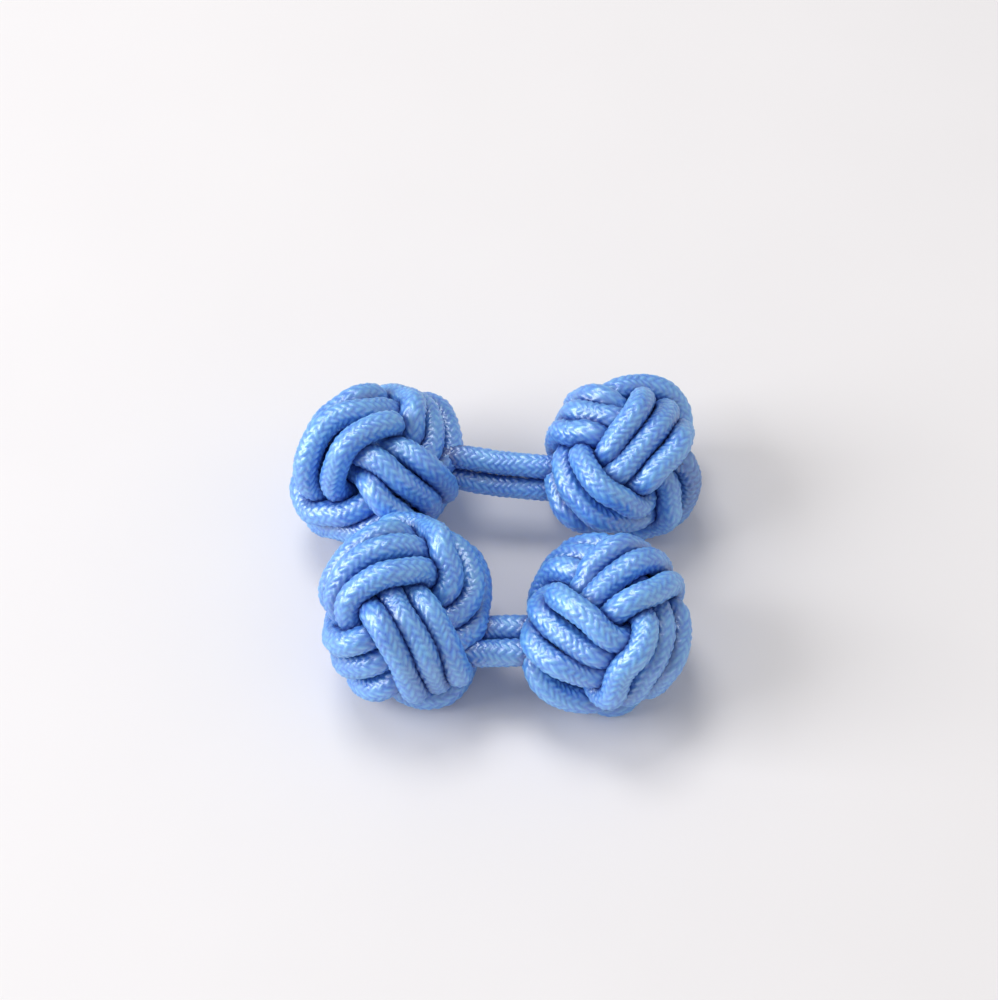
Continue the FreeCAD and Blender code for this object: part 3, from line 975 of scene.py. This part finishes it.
def link_pieces(row, name):
    """Cuts one strand at the necks and makes its three lengths, and the rubber thread in the middle one."""
    path = strand_path(row, name)
    surface = braided_grid(path, upward, STRAND[row])
    beside = strand_path(row, next(other for other in ROWS[row] if other != name))
    others = [smooth_path(beside, BESIDE_STEP)[0], *knot_cords[row + "_left"], *knot_cords[row + "_right"]]
    # mask for painted shade: how close the neighbour strand and the knots lie
    surface["crease_shade"] = crease_shade(surface, path, np.concatenate(others))
    thread = braided_grid(path, upward, THREAD, relief=0)
    along = surface["along"]
    gap = along[-1] - 2 * INTO_KNOT
    bend = BEND_SHARE * gap
    cuts = [0, *np.searchsorted(along, (INTO_KNOT + bend, INTO_KNOT + gap - bend)), len(along) - 1]
    lengths = ("left_neck", "middle", "right_neck")
    for number, part in enumerate(lengths):
        rows = slice(cuts[number], cuts[number + 1] + 1)
        piece = mesh_from_grid(f"{row}_{name}_{part}", surface, rows)
        piece.data.normals_split_custom_set_from_vertices(surface["normal"][rows].reshape(-1, 3))
        piece.data.materials.append(cord_material)
        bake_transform(piece)
        if part == "middle":
            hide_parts(f"{row}_{name}_strand")
            inner = mesh_from_grid(f"{row}_{name}_thread", thread, rows)
            inner.data.materials.append(latex)
            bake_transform(inner)
            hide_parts(f"{row}_{name}_rubber")
    print(row, name, "strand shows about", round(gap, 1), "mm")


for row, names in ROWS.items():
    for name in names:
        link_pieces(row, name)

# %% [markdown]
# ## Cores
# The filler core of each knot stays as it is in the solids. It hardly shows, but a hollow at a corner
# lets the eye in, so it gets a plain, dark finish.

# %% Cores
for knot in knot_middle:
    core = frame["nodes"][knot + "_core"]
    core.data.materials.clear()
    core.data.materials.append(wadding)
print("cores dressed:", len(knot_middle))

# %% [markdown]
# ## Table and light
# The photograph is taken on a white table by a window: broad cool light from the left, a weaker warm
# fill from the right, and soft light from above. The table is a shade less than white, so that
# it keeps its tone where the window is brightest. Sizes and places of these are in metres.

# %% Table
TABLE_SIZE = 0.8
MOTTLE_SCALE = 60.0
table_material, tree = new_material("white_laminate")
place = add_node(tree, "ShaderNodeTexCoord")
mottle = add_node(tree, "ShaderNodeTexNoise", Vector=place.outputs["Object"], Scale=MOTTLE_SCALE, Detail=2.0)
tone = add_node(tree, "ShaderNodeValToRGB", Fac=mottle.outputs["Fac"])
tone.color_ramp.elements[0].color = linear("#efecec")
tone.color_ramp.elements[1].color = linear("#f3f0f0")
matte = add_node(tree, "ShaderNodeBsdfPrincipled", **{"Base Color": tone.outputs["Color"], "Roughness": 0.6})
add_node(tree, "ShaderNodeOutputMaterial", Surface=matte.outputs["BSDF"])
half = TABLE_SIZE / 2
table_mesh = bpy.data.meshes.new("table")
corners = [(-half, -half, 0), (half, -half, 0), (half, half, 0), (-half, half, 0)]
table_mesh.from_pydata(corners, [], [(0, 1, 2, 3)])
table = bpy.data.objects.new("table", table_mesh)
bpy.context.scene.collection.objects.link(table)
table_mesh.materials.append(table_material)
print("table side:", TABLE_SIZE, "m")

# %% Light
LAMPS = {
    "window_left": ((-0.42, -0.06, 0.28), 0.30, 1.80, "#fbfcff"),
    "room_right": ((0.45, -0.10, 0.35), 0.50, 0.24, "#fff6ec"),
    "ceiling": ((-0.10, 0.18, 0.48), 0.20, 0.80, "#ffffff"),
}
ROOM_COLOUR = "#fbfbfc"
ROOM_STRENGTH = 0.42
for name, (location, size, power, colour) in LAMPS.items():
    lamp = bpy.data.lights.new(name, "AREA")
    lamp.size = size
    lamp.energy = power
    lamp.color = linear(colour)[:3]
    holder = bpy.data.objects.new(name, lamp)
    holder.location = location
    holder.rotation_mode = "QUATERNION"
    holder.rotation_quaternion = (-Vector(location)).to_track_quat("-Z", "Y")
    bpy.context.scene.collection.objects.link(holder)
world = bpy.context.scene.world or bpy.data.worlds.new("room")
bpy.context.scene.world = world
world.use_nodes = True
background = world.node_tree.nodes["Background"]
background.inputs["Color"].default_value = linear(ROOM_COLOUR)
background.inputs["Strength"].default_value = ROOM_STRENGTH
print("lamps:", {name: power for name, (_, _, power, _) in LAMPS.items()}, "W")
